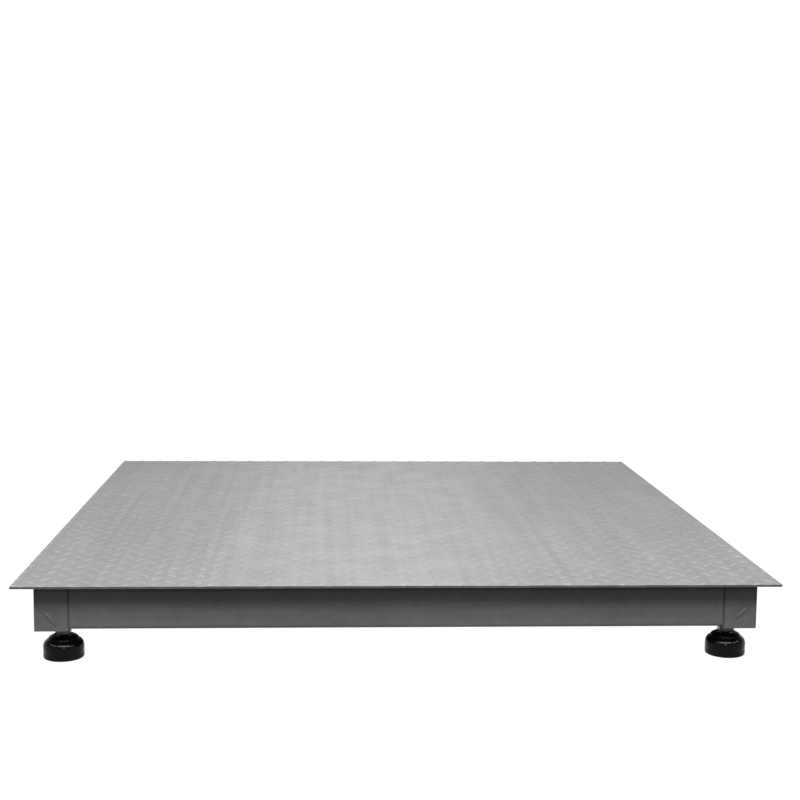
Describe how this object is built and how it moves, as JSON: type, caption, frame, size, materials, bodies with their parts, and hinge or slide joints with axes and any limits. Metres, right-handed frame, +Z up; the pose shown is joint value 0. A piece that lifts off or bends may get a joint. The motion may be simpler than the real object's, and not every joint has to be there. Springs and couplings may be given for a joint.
{
  "type": "animal weighing scale",
  "caption": "Low square livestock floor scale with an overhanging tread-plate deck, channel frame, corner load cells and levelling feet.",
  "frame": {"origin": "on the floor under the deck's centre", "axes": "+Z up, +X to the right, front towards -Y"},
  "size_m": [1.2192, 1.2192, 0.1335],
  "materials": {
    "deck_paint": "satin",
    "frame_paint": "satin",
    "rib_paint": "satin",
    "cell_nickel": "nickel plated",
    "zinc_steel": "zinc plated",
    "stud_chrome": "black chromed",
    "liner_acetal": "satin",
    "ring_steel": "turned",
    "cup_rubber": "glossy",
    "boot_rubber": "satin",
    "sole_rubber": "matt",
    "box_plastic": "fine texture",
    "gasket_rubber": "matt",
    "board_green": "lacquered",
    "terminal_plastic": "satin",
    "gland_nylon": "satin",
    "lead_pvc": "satin",
    "clip_nylon": "satin"
  },
  "bodies": {
    "platform": {"deck_plate": "deck_paint", "side_beam_left": "frame_paint", "side_beam_right": "frame_paint", "front_beam": "frame_paint", "rear_beam": "frame_paint", "rib_left": "rib_paint", "rib_centre": "rib_paint", "rib_right": "rib_paint", "end_plate_front_left": "frame_paint", "end_plate_front_right": "frame_paint", "end_plate_rear_left": "frame_paint", "end_plate_rear_right": "frame_paint", "load_cell_front_left": "cell_nickel", "load_cell_front_right": "cell_nickel", "load_cell_rear_left": "cell_nickel", "load_cell_rear_right": "cell_nickel", "cell_pads": "zinc_steel", "cell_bolts": "zinc_steel", "cell_washers": "zinc_steel", "jam_nuts": "zinc_steel", "cell_lead_front_left": "lead_pvc", "cell_lead_front_right": "lead_pvc", "cell_lead_rear_left": "lead_pvc", "cell_lead_rear_right": "lead_pvc", "lead_clips": "clip_nylon", "junction_box": "box_plastic", "junction_gasket": "gasket_rubber", "junction_lid": "box_plastic", "junction_screws": "zinc_steel", "junction_board": "board_green", "terminal_blocks": "terminal_plastic", "junction_bracket": "rib_paint", "junction_glands": "gland_nylon", "outlet_gland": "gland_nylon"},
    "foot_carrier_front_left": {"ball_liner_front_left": "liner_acetal"},
    "stud_front_left": {"foot_stud_front_left": "stud_chrome"},
    "ring_front_left": {"socket_ring_front_left": "ring_steel"},
    "cup_front_left": {"foot_cup_front_left": "cup_rubber", "foot_boot_front_left": "boot_rubber", "sole_pad_front_left": "sole_rubber"},
    "foot_carrier_front_right": {"ball_liner_front_right": "liner_acetal"},
    "stud_front_right": {"foot_stud_front_right": "stud_chrome"},
    "ring_front_right": {"socket_ring_front_right": "ring_steel"},
    "cup_front_right": {"foot_cup_front_right": "cup_rubber", "foot_boot_front_right": "boot_rubber", "sole_pad_front_right": "sole_rubber"},
    "foot_carrier_rear_left": {"ball_liner_rear_left": "liner_acetal"},
    "stud_rear_left": {"foot_stud_rear_left": "stud_chrome"},
    "ring_rear_left": {"socket_ring_rear_left": "ring_steel"},
    "cup_rear_left": {"foot_cup_rear_left": "cup_rubber", "foot_boot_rear_left": "boot_rubber", "sole_pad_rear_left": "sole_rubber"},
    "foot_carrier_rear_right": {"ball_liner_rear_right": "liner_acetal"},
    "stud_rear_right": {"foot_stud_rear_right": "stud_chrome"},
    "ring_rear_right": {"socket_ring_rear_right": "ring_steel"},
    "cup_rear_right": {"foot_cup_rear_right": "cup_rubber", "foot_boot_rear_right": "boot_rubber", "sole_pad_rear_right": "sole_rubber"}
  },
  "joints": [
    {"name": "lift_front_left", "type": "slide", "parent": "platform", "child": "foot_carrier_front_left", "axis": [0, 0, -1], "range_m": [0, 0.01225]},
    {"name": "spin_front_left", "type": "hinge", "parent": "foot_carrier_front_left", "child": "stud_front_left", "pos_m": [-0.5407, -0.5407, 0.021], "axis": [0, 0, -1], "range_deg": [0, 2520]},
    {"name": "tilt_side_front_left", "type": "hinge", "parent": "foot_carrier_front_left", "child": "ring_front_left", "pos_m": [-0.5407, -0.5407, 0.021], "axis": [1, 0, 0], "range_deg": [-5, 5]},
    {"name": "tilt_fore_front_left", "type": "hinge", "parent": "ring_front_left", "child": "cup_front_left", "pos_m": [-0.5407, -0.5407, 0.021], "axis": [0, 1, 0], "range_deg": [-5, 5]},
    {"name": "lift_front_right", "type": "slide", "parent": "platform", "child": "foot_carrier_front_right", "axis": [0, 0, -1], "range_m": [0, 0.01225]},
    {"name": "spin_front_right", "type": "hinge", "parent": "foot_carrier_front_right", "child": "stud_front_right", "pos_m": [0.5407, -0.5407, 0.021], "axis": [0, 0, -1], "range_deg": [0, 2520]},
    {"name": "tilt_side_front_right", "type": "hinge", "parent": "foot_carrier_front_right", "child": "ring_front_right", "pos_m": [0.5407, -0.5407, 0.021], "axis": [1, 0, 0], "range_deg": [-5, 5]},
    {"name": "tilt_fore_front_right", "type": "hinge", "parent": "ring_front_right", "child": "cup_front_right", "pos_m": [0.5407, -0.5407, 0.021], "axis": [0, 1, 0], "range_deg": [-5, 5]},
    {"name": "lift_rear_left", "type": "slide", "parent": "platform", "child": "foot_carrier_rear_left", "axis": [0, 0, -1], "range_m": [0, 0.01225]},
    {"name": "spin_rear_left", "type": "hinge", "parent": "foot_carrier_rear_left", "child": "stud_rear_left", "pos_m": [-0.5407, 0.5407, 0.021], "axis": [0, 0, -1], "range_deg": [0, 2520]},
    {"name": "tilt_side_rear_left", "type": "hinge", "parent": "foot_carrier_rear_left", "child": "ring_rear_left", "pos_m": [-0.5407, 0.5407, 0.021], "axis": [1, 0, 0], "range_deg": [-5, 5]},
    {"name": "tilt_fore_rear_left", "type": "hinge", "parent": "ring_rear_left", "child": "cup_rear_left", "pos_m": [-0.5407, 0.5407, 0.021], "axis": [0, 1, 0], "range_deg": [-5, 5]},
    {"name": "lift_rear_right", "type": "slide", "parent": "platform", "child": "foot_carrier_rear_right", "axis": [0, 0, -1], "range_m": [0, 0.01225]},
    {"name": "spin_rear_right", "type": "hinge", "parent": "foot_carrier_rear_right", "child": "stud_rear_right", "pos_m": [0.5407, 0.5407, 0.021], "axis": [0, 0, -1], "range_deg": [0, 2520]},
    {"name": "tilt_side_rear_right", "type": "hinge", "parent": "foot_carrier_rear_right", "child": "ring_rear_right", "pos_m": [0.5407, 0.5407, 0.021], "axis": [1, 0, 0], "range_deg": [-5, 5]},
    {"name": "tilt_fore_rear_right", "type": "hinge", "parent": "ring_rear_right", "child": "cup_rear_right", "pos_m": [0.5407, 0.5407, 0.021], "axis": [0, 1, 0], "range_deg": [-5, 5]}
  ],
  "couplings": [
    {"joint": "spin_front_left", "follows": "lift_front_left", "rad_per_m": 3590.4},
    {"joint": "spin_front_right", "follows": "lift_front_right", "rad_per_m": 3590.4},
    {"joint": "spin_rear_left", "follows": "lift_rear_left", "rad_per_m": 3590.4},
    {"joint": "spin_rear_right", "follows": "lift_rear_right", "rad_per_m": 3590.4}
  ]
}
